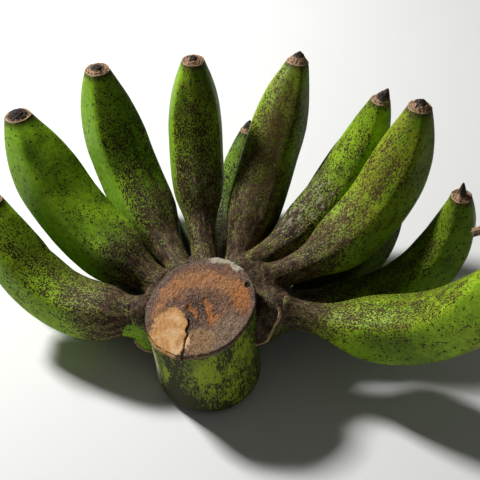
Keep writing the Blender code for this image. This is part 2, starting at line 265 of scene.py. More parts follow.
class BananaStalkSettings(bpy.types.PropertyGroup):
    """Colours and grain of the stalk's rind and its cut"""

    fibre_depth: length_property("Fibre depth", "Roughness of the cut", 0.7 * MM)
    streak_width: length_property("Streak width", "Width of a dark streak on the rind", 1.5 * MM)
    moss: colour_property("Moss green", "Most of the rind", "#6B7D2C")
    lime: colour_property("Lime", "Fresh green patches of the rind", "#9DB02A")
    bark: colour_property("Bark", "Dark streaks and blotches of the rind", "#2F2A19")
    # Pale fibres on the left edge, set lighter than their own colour as painted light from the left
    straw_with_painted_light: colour_property("Straw", "Pale fibres on the rind's left edge", "#BDB892")
    cut_purple: colour_property("Purple brown", "Most of the cut", "#664A42")
    cut_brown: colour_property("Brown", "Lighter stretches of the cut", "#7F5A41")
    cut_warm: colour_property("Warm brown", "Arc of fibres round the middle of the cut", "#AF784A")
    cut_tan: colour_property("Tan", "Smooth patch of the cut", "#CF9C63")
    cut_tan_dark: colour_property("Dark tan", "Darker fibres of the smooth patch", "#B9854F")
    cut_tan_light: colour_property("Light tan", "Lighter streaks of the smooth patch", "#E0B888")
    cut_dark: colour_property("Dark brown", "Rotten middle of the cut", "#3C312A")
    cut_orange: colour_property("Orange", "Wet slots of the cut", "#B06B30")
    cut_mottled: colour_property("Mottled tan", "Torn fibres beside the smooth patch", "#9A7A54")
    cut_grey: colour_property("Grey", "Weathered fibres of the cut", "#86705C")
    cut_rim: colour_property("Rim", "Dried edge of the cut", "#66554F")
    cut_crust: colour_property("Crust", "Pale dry crust at the cut's edge", "#B4AC95")
    cut_pit: colour_property("Pit", "Holes and cracks of the cut", "#2E2018")
    cut_fleck: colour_property("Light fibre", "Light fibre ends all over the cut", "#D9B890")
    rim_dry: colour_property("Dry rim", "Edge of a bract scar", "#C49E76")


class BananaStageSettings(bpy.types.PropertyGroup):
    """Lights and floor"""

    key_power: FloatProperty(
        name="Key light", description="Power of the key light", default=26.0, min=0, unit="POWER"
    )
    fill_power: FloatProperty(
        name="Fill light", description="Power of the fill light", default=0.22, min=0, unit="POWER"
    )
    sky: FloatProperty(name="Sky", description="Strength of the even light", default=0.065, min=0)
    floor: colour_property("Floor", "Plain pale floor", "#F4F4F2")


def ease(x):
    """0 below 0, 1 above 1, and a smooth step between."""
    x = np.clip(x, 0, 1)
    return x * x * (3 - 2 * x)


def lattice_noise(points, cell, seed):
    """Smooth noise from -1 to 1: random values at the corners of cubes, eased between them."""
    table = np.random.default_rng(seed).uniform(-1, 1, NOISE_VALUES)
    across, back, up = NOISE_PRIMES
    scaled = points / cell
    corner = np.floor(scaled).astype(np.int64)
    inside = ease(scaled - corner)
    total = 0
    for dx in (0, 1):
        for dy in (0, 1):
            for dz in (0, 1):
                x, y, z = corner[..., 0] + dx, corner[..., 1] + dy, corner[..., 2] + dz
                value = table[(x * across ^ y * back ^ z * up) & (NOISE_VALUES - 1)]
                weight = (
                    (inside[..., 0] if dx else 1 - inside[..., 0])
                    * (inside[..., 1] if dy else 1 - inside[..., 1])
                    * (inside[..., 2] if dz else 1 - inside[..., 2])
                )
                total = total + value * weight
    return total


def mesh_from_rings(name, rings, first_pole, last_pole):
    """A closed mesh: quads between neighbouring rings of points and a fan to a pole at each end.

    Rings follow each other forwards, and each runs from up to left seen along the way forwards.
    """
    count, sides = rings.shape[:2]
    points = np.concatenate([rings.reshape(-1, 3), [first_pole], [last_pole]])
    here = np.arange(count * sides).reshape(count, sides)
    beside = np.roll(here, -1, axis=1)
    quads = np.stack([here[:-1], here[1:], beside[1:], beside[:-1]], axis=-1).reshape(-1, 4)
    first, last = count * sides, count * sides + 1
    start_fan = np.stack([np.full(sides, first), here[0], beside[0]], axis=-1)
    end_fan = np.stack([np.full(sides, last), beside[-1], here[-1]], axis=-1)
    fans = np.concatenate([start_fan, end_fan])
    corners = np.concatenate([quads.ravel(), fans.ravel()])
    starts = np.concatenate([np.arange(len(quads)) * 4, len(quads) * 4 + np.arange(len(fans)) * 3])
    mesh = bpy.data.meshes.new(name)
    mesh.vertices.add(len(points))
    mesh.vertices.foreach_set("co", points.astype(np.float32).ravel())
    mesh.loops.add(len(corners))
    mesh.loops.foreach_set("vertex_index", corners.astype(np.int32))
    mesh.polygons.add(len(starts))
    mesh.polygons.foreach_set("loop_start", starts.astype(np.int32))
    mesh.update(calc_edges=True)
    mesh.shade_smooth()
    return mesh


def set_attribute(mesh, name, values):
    """Stores one value a ring point; the two poles take the mean of the ring next to them."""
    values = np.asarray(values, np.float32)
    vector = values.ndim == 3
    ends = [values[0].mean(axis=0), values[-1].mean(axis=0)]
    flat = values.reshape(-1, 3) if vector else values.reshape(-1)
    flat = np.concatenate([flat, np.stack(ends).astype(np.float32)])
    layer = mesh.attributes.new(name, "FLOAT_VECTOR" if vector else "FLOAT", "POINT")
    layer.data.foreach_set("vector" if vector else "value", flat.ravel())


def add_piece(name, mesh, material, nodes):
    """Links the finished piece, which stands for these nodes of the solid model."""
    piece = bpy.data.objects.new(name, mesh)
    bpy.context.scene.collection.objects.link(piece)
    mesh.materials.append(material)
    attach(piece, "root")
    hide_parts(*nodes)


def directions(finger, share):
    """Unit vectors along the finger and level across it, at the given shares of its length."""
    bend = 0.5 * ease(share) + 0.5 * share
    slope = np.radians(finger.slope + (finger.rise - finger.slope) * bend)
    heading = np.radians(finger.heading + finger.turn * share)
    flat = np.cos(slope)
    along = np.stack([flat * np.cos(heading), flat * np.sin(heading), np.sin(slope)], axis=-1)
    level = np.stack([-np.sin(heading), np.cos(heading), np.zeros_like(heading)], axis=-1)
    return along, level


def centre_line(finger, shares):
    """Points of the finger's centre line, summed from small straight steps."""
    steps = CENTRE_LINE_STEPS
    middles = (np.arange(steps) + 0.5) / steps
    length = finger.length * MM
    azimuth = math.radians(finger.azimuth)
    base_x, base_y = STEM_START * math.cos(azimuth), STEM_START * math.sin(azimuth)
    base = np.array([base_x, base_y, finger.height * MM])
    summed = np.cumsum(directions(finger, middles)[0], axis=0)
    walked = np.vstack([np.zeros(3), summed]) * length / steps
    knots = np.linspace(0, 1, steps + 1)
    ahead = np.clip(shares, 0, 1)
    points = base + np.stack([np.interp(ahead, knots, walked[:, k]) for k in range(3)], axis=-1)
    before = np.minimum(shares, 0)[:, None] * length
    return points + before * directions(finger, np.zeros(len(shares)))[0]


def thickness(finger, shares):
    """Radius along the finger: a stem flared at its root, a quick swelling and a drawn-in tip."""
    def swell(at):
        """From 0 to 1 in an S round the shoulder."""
        return 1 / (1 + np.exp(-(at - finger.shoulder) / SHOULDER_SPREAD))

    start = swell(0.0)
    full = finger.girth * MM / 2
    swollen = swell(np.maximum(shares, 0)) - start
    radius = STEM_RADIUS + (full - STEM_RADIUS) * swollen / (1 - start)
    drawn_in = np.clip((shares - TAPER_START) / (1 - TAPER_START), 0, 1) ** 1.9
    flare = STEM_FLARE * np.exp(-np.maximum(shares, 0) * finger.length * MM / STEM_FLARE_LENGTH)
    return radius * (1 - (1 - TIP_SHARE) * drawn_in) * (1 + flare)


def five_sided(angles, strength):
    """How far a ring stands out at each angle: five ridges, fading as strength goes to 0."""
    peel = bpy.context.scene.banana_peel
    outline = np.full_like(angles, FACE_LEVEL)
    for ridge in RIDGE_ANGLES:
        away = (angles - ridge + math.pi) % (2 * math.pi) - math.pi
        outline += peel.ridge_height * np.exp(-(away / peel.ridge_width) ** 2)
    return 1 + (outline - 1) * strength


def scar_tilt(finger):
    """How far the flower scar is turned from square across the tip towards level."""
    return SCAR_TILT * math.radians(90 - finger.rise)


def finger_grid(finger, shares, sides):
    """Rings of a finger as middles, spokes, outward directions, radii and angles.

    A spoke is the radius times its direction, slanted near the tip so that the flower scar turns
    upwards. Angle 0 is the hollow upper side of the bent finger, and angles grow to its left.
    """
    middles = centre_line(finger, shares)
    along, level = directions(finger, np.clip(shares, 0, 1))
    upper = np.cross(along, level)
    angles = np.arange(sides) * 2 * math.pi / sides
    strength = ease(shares / 0.3) * (1 - 0.6 * ease((shares - 0.85) / 0.15))
    radius = thickness(finger, shares)[:, None] * five_sided(angles[None, :], strength[:, None])
    outward = (
        np.cos(angles)[None, :, None] * upper[:, None, :]
        + np.sin(angles)[None, :, None] * level[:, None, :]
    )
    turned = scar_tilt(finger) * ease((shares - SCAR_TILT_START) / (1 - SCAR_TILT_START))
    slant = -np.tan(turned)[:, None] * radius * np.cos(angles)[None, :]
    spokes = radius[..., None] * outward + slant[..., None] * along[:, None, :]
    return middles, spokes, outward, radius, angles


def between(angles, first, last, soft):
    """1 inside an arc of the ring, in degrees, and 0 outside, with a soft edge."""
    turned = np.degrees(angles) % 360
    return ease((turned - first) / soft + 0.5) * ease((last - turned) / soft + 0.5)


def peel_attributes(marks, shares, angles):
    """Maps over the grid of shares and angles: speckles, neck brown, wax, wear, yellow, and dirt
    that is drawn darker on the right side as painted shade.

    The left and right faces are those between two ridges beside the hollow upper side.
    """
    share = shares[:, None]
    facing = 0.5 + 0.5 * np.cos(angles)[None, :]
    left = between(angles, 48, 118, 5)[None, :] * ease((share - 0.2) / 0.1)
    right = between(angles, 242, 312, 5)[None, :] * ease((share - 0.2) / 0.1)
    reach = 0.10 + 0.55 * marks.neck * (0.25 + 0.75 * facing)
    neck = 1 - ease((share - 0.25 * reach) / (1.15 * reach))
    neck = np.maximum(neck, 1.1 * (1 - ease((share - 0.03) / 0.11)))
    clean = 1 - marks.left_clean * left - marks.right_clean * right
    fading = 1 - 0.35 * ease((share - 0.72) / 0.25)
    wear = marks.worn * facing ** 2 * ease((share - 0.1) / 0.15) * (1 - ease((share - 0.45) / 0.2))
    maps = {
        "neck": neck,
        "speckles": marks.speckles * (0.5 + 0.5 * facing) * clean * fading,
        "wax": marks.left_clean * left + 0.5 * marks.right_clean * right,
        "wear": wear,
        "yellow": marks.yellow * clean,
        # Painted shade: the dirt grows darker away from the left face, most of all on the right
        # side
        "grime": marks.grime * ease(0.75 - 0.75 * np.sin(angles))[None, :] * clean,
        "edge": 0.85 * ease((share - 0.955) / 0.04),
    }
    shape = (len(shares), len(angles))
    return {name: np.broadcast_to(values, shape) for name, values in maps.items()}


def add_peel(finger, marks, number, material):
    """The peel of one finger: the finger's grid with soft lumps, its belly flat where it rests.

    The pattern's coordinates are cylindrical, and each finger's are moved so that none look alike.
    """
    peel = bpy.context.scene.banana_peel
    length = finger.length * MM
    shares = np.linspace(-STEM_ROOT / length, 1, peel.rings)
    middles, spokes, outward, radius, angles = finger_grid(finger, shares, peel.sides)
    along = np.broadcast_to(shares[:, None] * length, radius.shape)
    skin = np.stack([radius * np.cos(angles), radius * np.sin(angles), along], axis=-1)
    skin = skin + np.array([0.31, 0.17, 0.23]) * (number + 1)
    lumps = 0.7 * lattice_noise(skin, 22 * MM, 11) + 0.3 * lattice_noise(skin, 7 * MM, 12)
    from_root = ease((shares * length + STEM_ROOT) / STEM_ROOT_SWELL)
    root = STEM_ROOT_SHARE + (1 - STEM_ROOT_SHARE) * from_root
    raised = (peel.lump_height * lumps)[..., None] * outward
    rings = middles[:, None, :] + root[:, None, None] * spokes + raised
    rings[..., 2] = np.maximum(rings[..., 2], 0)
    name = "peel_of_" + finger.name
    mesh = mesh_from_rings(name, rings, rings[0].mean(axis=0), rings[-1].mean(axis=0))
    set_attribute(mesh, "skin", skin)
    for each, values in peel_attributes(marks, shares, angles).items():
        set_attribute(mesh, each, values)
    add_piece(mesh.name, mesh, material, [finger.name])


def scar_frame(finger, sides):
    """A finger's last ring as middle, spokes, outward directions and angles, and two directions.

    They are the way the finger runs there and the way its scar faces.
    """
    middles, spokes, outward, _, angles = finger_grid(finger, np.array([1.0]), sides)
    along, level = directions(finger, np.array([1.0]))
    upper = np.cross(along, level)[0]
    facing = math.cos(scar_tilt(finger)) * along[0] + math.sin(scar_tilt(finger)) * upper
    return middles[0], spokes[0], outward[0], angles, along[0], facing


def scar_rise(finger, share):
    """Height of the scar's dome and of the round-topped cone on it, at a share of its radius."""
    remnant = 1.15 * np.maximum(0, 1 - np.sqrt((share / finger.cone) ** 2 + 0.03)) ** 1.1
    return SCAR_DOME * (1 - share ** 2) + finger.nub * MM * remnant


def add_flower_scar(finger, marks, number, material):
    """The dry flower scar: the last ring shrunk over a dome with a lip, grooves and the remnant."""
    middle, spokes, _, angles, along, facing = scar_frame(finger, SCAR_SIDES)
    inner = np.linspace(0.99, 0.02, 54)
    share = np.concatenate([[0.955, 0.995, 1.012, 1.006], inner])[:, None]
    rise = scar_rise(finger, np.minimum(share, 1))
    rise[:4, 0] += np.array([-1.5, -0.35, 0.0, 0.35]) * MM
    round_points = np.stack([np.cos(angles), np.sin(angles), 0 * angles], axis=-1)[None]
    broad = lattice_noise(round_points * 2.2 + share[..., None] * 3 + 7 * number, 1.0, 21)
    ragged = lattice_noise(round_points * share[..., None] * 7 + 5 * number, 1.0, 22)
    wander = share + 0.05 * broad + 0.03 * ragged
    grooves = np.cos(wander * SCAR_GROOVES) * ease((share - 0.2) / 0.2) * ease((1.0 - share) / 0.08)
    relief = (0.28 * grooves + 0.45 * ragged * ease((1.0 - share) / 0.15) + 0.15 * ragged) * MM
    lean = np.array([finger.lean * MM, 0, 0]) * (1 - np.minimum(share, 1))[..., None]
    rings = middle + share[..., None] * spokes[None] + (rise + relief)[..., None] * facing + lean
    if finger.name == FLOWER_BEARER:
        rings, wander = rings[:-FLOWER_BED_ROWS], wander[:-FLOWER_BED_ROWS]
    mesh = mesh_from_rings(
        "flower_scar_of_" + finger.name, rings, middle - 1.5 * MM * along, rings[-1].mean(axis=0)
    )
    set_attribute(mesh, "ring", wander)
    set_attribute(mesh, "dead", np.clip((marks.dead - wander) / 0.3 + 0.5, 0, 1))
    set_attribute(mesh, "skin", rings + np.array([0.13, 0.29, 0.07]) * number)
    add_piece(mesh.name, mesh, material, [finger.name])


def add_dried_flower(material):
    """The dried flower: rings along a path that turns from the tip's direction towards -X.

    Its radius thins, swells at the knuckle and frays at the end, with grooves that run along it.
    """
    finger = next(f for f in FINGERS if f.name == FLOWER_BEARER)
    sides = bpy.context.scene.banana_scars.flower_sides
    middle, _, outward, angles, along, facing = scar_frame(finger, sides)
    side = np.array([-1.0, 0.0, 0.0]) + along[0] * along
    side /= np.linalg.norm(side)
    leaning = (outward @ side)[:, None]
    across = outward - leaning * side
    root = middle + scar_rise(finger, 0.3) * facing
    rows = 90
    step = (np.arange(rows) + 0.5) / rows
    bend = FLOWER_BEND * step ** 1.5
    forward = np.cos(bend)[:, None] * along + np.sin(bend)[:, None] * side
    sideways = np.cos(bend)[:, None] * side - np.sin(bend)[:, None] * along
    path = root + np.cumsum(forward, axis=0) * FLOWER_LENGTH / rows
    grooves = 1 + 0.10 * np.cos(5 * angles + 4 * step[:, None])
    grooves = grooves + 0.05 * np.cos(11 * angles - 7 * step[:, None])
    knuckle = 0.12 * np.exp(-((step - 0.55) / 0.1) ** 2)
    width = 1.25 - 0.35 * ease(step / 0.25) + knuckle - 0.1 * step
    fray = lattice_noise(np.stack([angles * 3, 0 * angles, 0 * angles], axis=-1), 1.0, 31)
    open_end = 1 + 0.12 * fray * ease((step[:, None] - 0.7) / 0.3)
    ring = FLOWER_RADIUS * width[:, None] * grooves * open_end
    directions_out = leaning[None] * sideways[:, None, :] + across[None]
    rings = path[:, None, :] + ring[..., None] * directions_out
    frayed = 1.6 * MM * fray * ease((step[:, None] - 0.9) / 0.1)
    rings = rings + frayed[..., None] * forward[:, None, :]
    start = root - 1.5 * MM * along
    mesh = mesh_from_rings("dried_flower", rings, start, path[-1] - 1.5 * MM * forward[-1])
    fluted = 0.75 + 0.2 * np.cos(9 * angles + 5 * step[:, None])
    set_attribute(mesh, "ring", fluted)
    set_attribute(mesh, "dead", 0.35 + 0 * fluted)
    set_attribute(mesh, "skin", rings)
    add_piece(mesh.name, mesh, material, [finger.name])


def crown_middle(azimuth):
    """The middle of the cushion's section at an azimuth."""
    x = CROWN_CORE * np.cos(azimuth)
    return np.stack([x, CROWN_CORE * np.sin(azimuth), CROWN_MIDDLE + CROWN_TILT * x], axis=-1)


def crown_grid(share, angles, grow):
    """Points of the cushion: an oval section, carried round the stalk and shrunk at its ends.

    Its underside is tucked in on the right, and all of it is grown by the given distance.
    """
    azimuth = CROWN_FIRST_END + (CROWN_LAST_END - CROWN_FIRST_END) * share
    reach = (1 - np.abs(2 * share - 1) ** 6) ** 0.5
    tuck = ease((0.32 - share) / 0.30) * ease((0.35 - np.sin(angles)) / 0.9)
    tucked = reach * (1 - CROWN_TUCK * tuck)
    out = ((CROWN_REACH - CROWN_CORE) * tucked + grow) * np.cos(angles)
    up = (CROWN_HALF_HEIGHT * tucked + grow) * np.sin(angles)
    spoke = np.stack([out * np.cos(azimuth), out * np.sin(azimuth), up], axis=-1)
    return crown_middle(azimuth) + spoke


def stem_beads():
    """Centres and radii of close rows of balls, one row in every stem, from its root onwards."""
    centres, radii = [], []
    for finger in FINGERS:
        shares = np.arange(-8, 17, 2) * MM / (finger.length * MM)
        centres.append(centre_line(finger, shares))
        radii.append(thickness(finger, shares) * (1 - 0.012 * np.arange(len(shares))))
    return np.array(centres), np.array(radii)


def crown_blend():
    """The cushion, webbed to the stems: from outside, each point sinks until it meets the blend.

    The blend of cushion and stems is the negative logarithm of the sum of their falloffs, which
    fills the creases between neighbours. Gives shares, angles and how far each point is grown.
    """
    share = (np.sin(np.linspace(-0.49, 0.49, CROWN_SECTIONS) * math.pi) / 2 + 0.5)[:, None]
    angles = (np.arange(CROWN_SIDES) * 2 * math.pi / CROWN_SIDES)[None, :]
    centres, radii = stem_beads()
    grow = np.full((CROWN_SECTIONS, CROWN_SIDES), WEB_START)
    for _ in range(WEB_PASSES):
        points = crown_grid(share, angles, grow)
        falloff = np.exp(-grow / WEB_WIDTH)
        for stem_centres, stem_radii in zip(centres, radii):
            gaps = np.linalg.norm(points[..., None, :] - stem_centres, axis=-1) - stem_radii
            falloff = falloff + np.exp(-gaps.min(axis=-1) / WEB_WIDTH)
        grow = grow - np.maximum(-WEB_WIDTH * np.log(falloff), 0)
    return share, angles, grow


def add_crown(material, share, angles, grow):
    """The crown's skin: the blended cushion with fibrous lumps.

    It is green on the flap at its left end, mossy on its right end, darkened there as painted
    shade, and brown between.
    """
    plain = crown_grid(share, angles, grow)
    lumps = 0.6 * lattice_noise(plain, 8 * MM, 41) + 0.4 * lattice_noise(plain, 2.6 * MM, 42)
    rings = crown_grid(share, angles, grow + 0.7 * MM * lumps - 0.5 * MM)
    mesh = mesh_from_rings("crown", rings, rings[0].mean(axis=0), rings[-1].mean(axis=0))
    azimuth = np.degrees(CROWN_FIRST_END + (CROWN_LAST_END - CROWN_FIRST_END) * share)
    flap = ease((azimuth - 171) / 7) * ease((0.9 - np.sin(angles)) / 0.3)
    # Right end: less brown, and darker with more speckles, dirt and collar brown as painted shade
    shaded = ease((24 - azimuth) / 16) * ease((0.75 - np.sin(angles)) / 0.5)
    under = ease((-0.25 - np.sin(angles)) / 0.4)
    set_attribute(mesh, "skin", plain)
    set_attribute(mesh, "neck", np.maximum(1.25 * (1 - flap) - 1.15 * shaded - 0.35 * under, 0))
    set_attribute(mesh, "speckles", 0.7 - 0.3 * flap + 0.25 * shaded)
    set_attribute(mesh, "wax", 0.5 * flap)
    set_attribute(mesh, "wear", 0.2 * (1 - flap))
    set_attribute(mesh, "yellow", 0.3 * (1 - flap))
    set_attribute(mesh, "grime", (0.5 + 0.5 * shaded) * (1 - flap))
    set_attribute(mesh, "edge", 0.2 * shaded)
    add_piece(mesh.name, mesh, material, ["stalk_and_crown"])


def add_bract_scar(name, material, share, ring_angles, grow):
    """A dry rim: a flattened tube of uneven width that lies on the crown's skin along its route.

    The skin's height is read between its two nearest angles, and the path is smoothed by a bell.
    """
    count, sides = 320, 20
    route = np.array(BRACT_SCAR_ROUTES[name], float)
    reach = np.concatenate([[0], np.cumsum(np.hypot(*np.diff(route[:, :2], axis=0).T))])
    step = np.linspace(0, 1, count)
    azimuth, tilt, dead = (np.interp(step * reach[-1], reach, column) for column in route.T)
    azimuth, tilt = np.radians(azimuth), np.radians(tilt)
    position = (azimuth - CROWN_FIRST_END) / (CROWN_LAST_END - CROWN_FIRST_END)
    section = np.clip(np.searchsorted(share[:, 0], position), 0, len(share) - 1)
    place = (tilt % (2 * math.pi)) / (2 * math.pi) * ring_angles.size
    before = place.astype(int) % ring_angles.size
    part = place - np.floor(place)
    after = (before + 1) % ring_angles.size
    skin = grow[section, before] * (1 - part) + grow[section, after] * part
    path = crown_grid(position, tilt, skin - BRACT_SCAR_SINK)
    bell = np.hanning(2 * BRACT_SCAR_SMOOTHING + 1)
    bell = bell / bell.sum()
    padded = np.pad(path, ((BRACT_SCAR_SMOOTHING, BRACT_SCAR_SMOOTHING), (0, 0)), mode="edge")
    path = np.stack([np.convolve(padded[:, k], bell, mode="valid") for k in range(3)], axis=-1)
    forward = np.gradient(path, axis=0)
    forward /= np.linalg.norm(forward, axis=1, keepdims=True)
    flat = np.cos(tilt)
    normal = np.stack([flat * np.cos(azimuth), flat * np.sin(azimuth), np.sin(tilt)], axis=-1)
    left = np.cross(normal, forward)
    left /= np.linalg.norm(left, axis=1, keepdims=True)
    up = np.cross(forward, left)
    uneven = 1 + 0.45 * lattice_noise(path, 3.7 * MM, 51) + 0.25 * lattice_noise(path, 1.3 * MM, 52)
    uneven *= 0.2 + 0.8 * ease(np.minimum(step, 1 - step) / 0.04)
    angles = np.arange(sides) * 2 * math.pi / sides
    lift = (BRACT_SCAR_HALF_HEIGHT * uneven)[:, None] * np.cos(angles)
    side = (BRACT_SCAR_HALF_WIDTH * uneven)[:, None] * np.sin(angles)
    rings = path[:, None] + lift[..., None] * up[:, None] + side[..., None] * left[:, None]
    mesh = mesh_from_rings(name, rings, path[0], path[-1])
    set_attribute(mesh, "ring", np.full(rings.shape[:2], 0.97))
    set_attribute(mesh, "dead", dead[:, None] + np.zeros(rings.shape[:2]))
    set_attribute(mesh, "skin", rings)
    add_piece(mesh.name, mesh, material, ["stalk_and_crown"])


def cut_height(x, y):
    """Height of the slanting cut over a point of the floor."""
    return STALK_HEIGHT + CUT_SLOPE_RIGHT * x + CUT_SLOPE_BACK * y


def rim_wave(angles):
    """How far the torn edge of the cut stands out or falls back round the stalk."""
    place = np.stack([np.cos(angles), np.sin(angles), 0 * angles], axis=-1)
    return (0.5 * lattice_noise(place, 0.30, 64) + 0.35 * lattice_noise(place, 0.09, 65)) * MM


def add_stalk_rind(material):
    """The stub's side: rings from the rounded foot to just under the cut, with soft upright flutes.

    Spots and bands round it place the pale left edge, the dark blotches and the fresh green.
    """
    sides, rows = 256, 120
    angles = (-np.arange(sides) * 2 * math.pi / sides)[None, :]
    turn = np.linspace(0, math.pi / 2, 14)[:, None]
    foot_radius = STALK_RADIUS - FOOT_ROUNDING * (1 - np.sin(turn)) + 0 * angles
    foot_z = FOOT_ROUNDING * (1 - np.cos(turn)) + 0 * angles
    share = np.linspace(0, 1, rows)[1:, None]
    wall_radius = STALK_RADIUS * (1 - 0.02 * np.sin(math.pi * share)) + 0 * angles
    radius = np.concatenate([foot_radius, wall_radius])
    share = np.concatenate([0 * turn, share])
    x = radius * np.cos(angles) - STALK_LEAN * share
    y = radius * np.sin(angles)
    top = cut_height(x, y) - 1.2 * MM + rim_wave(angles + 1)
    z = np.concatenate([foot_z, (FOOT_ROUNDING + (top - FOOT_ROUNDING) * share)[len(turn):]])
    plain = np.stack([x, y, z], axis=-1)
    upright = plain * np.array([1, 1, 0.2])
    relief = 0.45 * lattice_noise(upright, 7 * MM, 61) + 0.35 * lattice_noise(plain, 11 * MM, 62)
    relief = relief + 0.25 * lattice_noise(upright, 2.2 * MM, 63)
    relief = relief * ease(z / (4 * MM)) * 0.8 * MM - 0.35 * MM
    relief = relief + rim_wave(angles) * ease((share - 0.9) / 0.1)
    outward = np.stack([np.cos(angles) + 0 * z, np.sin(angles) + 0 * z, 0 * z], axis=-1)
    rings = plain + relief[..., None] * outward
    centre_top = np.array([-STALK_LEAN, 0, cut_height(-STALK_LEAN, 0) - 12 * MM])
    mesh = mesh_from_rings("stalk_rind", rings, np.zeros(3), centre_top)
    facing = np.degrees(angles) % 360 + 0 * z
    height = z / STALK_HEIGHT
    below_cut = (top[-1:] - z) / MM

    def spot(azimuth, level, wide, tall):
        """A soft spot on the rind, at an azimuth and a share of the height."""
        return np.exp(-((facing - azimuth) / wide) ** 2 - ((height - level) / tall) ** 2)

    pale = np.exp(-((facing - 198) / 15) ** 2) * (0.7 + 0.3 * ease((height - 0.1) / 0.3))
    dark = 1.2 * spot(240, 0.16, 22, 0.18) + 0.5 * spot(236, 0.60, 12, 0.2)
    dark = dark + spot(292, 0.10, 7, 0.07) + 0.5 * spot(275, 0.04, 50, 0.06)
    dark = dark + 1.1 * ease((5.0 - below_cut) / 4)
    lime = spot(226, 0.45, 7, 0.14) + 1.2 * spot(269, 0.62, 8, 0.13) + spot(308, 0.20, 16, 0.16)
    lime = lime + 1.1 * spot(322, 0.85, 14, 0.3) + 0.6 * spot(290, 0.5, 30, 0.4)
    set_attribute(mesh, "skin", plain)
    set_attribute(mesh, "pale", np.clip(pale, 0, 1))
    set_attribute(mesh, "dark", np.clip(dark, 0, 1))
    set_attribute(mesh, "lime", np.clip(lime, 0, 1))
    add_piece(mesh.name, mesh, material, ["stalk_and_crown"])


def oval(x, y, centre_x, centre_y, half_x, half_y, turned, soft):
    """1 inside an oval on the cut, in millimetres and turned by degrees, with a soft edge."""
    c, s = math.cos(math.radians(turned)), math.sin(math.radians(turned))
    u = ((x - centre_x) * c + (y - centre_y) * s) / half_x
    v = ((y - centre_y) * c - (x - centre_x) * s) / half_y
    return ease((1 - np.sqrt(u * u + v * v)) / soft + 0.5)


def band(x, y, route, half_width, soft):
    """1 close to a route of straight runs on the cut, in millimetres, with a soft edge."""
    nearest = np.full_like(x, 1e9)
    for (ax, ay), (bx, by) in zip(route, route[1:]):
        length = (bx - ax) ** 2 + (by - ay) ** 2
        share = np.clip(((x - ax) * (bx - ax) + (y - ay) * (by - ay)) / length, 0, 1)
        off_x, off_y = x - ax - share * (bx - ax), y - ay - share * (by - ay)
        nearest = np.minimum(nearest, np.hypot(off_x, off_y))
    return ease((half_width - nearest) / soft + 0.5)


def cut_marks(x, y):
    """Maps of the cut's patches, with x to the right and y away from the viewer, in millimetres."""
    place = np.stack([x, y, 0 * x], axis=-1)
    x = x + 1.6 * lattice_noise(place, 6.0, 71) + 0.8 * lattice_noise(place, 2.2, 72)
    y = y + 1.6 * lattice_noise(place, 6.0, 73) + 0.8 * lattice_noise(place, 2.2, 74)
    radius = np.hypot(x, y) / (STALK_RADIUS / MM)
    left_of_crack = ease((-7.5 - x - 0.10 * (y + 18)) / 1.6 + 0.5)
    tan = oval(x, y, -20, -17.5, 15, 19, -10, 0.4) * left_of_crack
    dark = np.maximum(oval(x, y, -3, -5, 8, 15, -20, 0.6), 0.6 * oval(x, y, 5, -1, 8, 10, 0, 0.8))
    slots = np.maximum(
        band(x, y, [(-7, 2), (-4, -2), (-2, -6)], 1.6, 1.8),
        band(x, y, [(2, 6), (5, -2), (8, -13), (12, -9)], 1.8, 2.2),
    )
    slots = np.maximum(slots, 0.8 * oval(x, y, 27, 0, 6, 13, 10, 0.9))
    arc = [(-31, 0), (-27, 10), (-19, 17), (-10, 21), (2, 21), (12, 17), (21, 11), (26, 3)]
    warm = band(x, y, arc, 6.0, 9.0)
    grey = np.maximum(oval(x, y, 17, -24, 15, 11, 30, 0.7), 0.5 * oval(x, y, 22, -14, 8, 9, 0, 0.8))
    mottled = oval(x, y, 0, -29, 11, 12, 0, 0.6) * (1 - left_of_crack)
    crust = band(x, y, [(8, 34), (18, 31), (28, 23)], 2.6, 3.0)
    rim = ease((radius - 0.80) / 0.16) * (0.45 + 0.55 * ease((y + 12) / 14))
    rim = np.maximum(rim, band(x, y, [(-37, -2), (-35, 9), (-32, 18), (-24, 27)], 4.0, 5.0))
    return {"tan": tan, "dark": dark * (1 - tan), "slots": slots, "warm": warm, "grey": grey,
            "mottled": mottled, "crust": crust, "rim": np.clip(rim, 0, 1) * (1 - tan)}


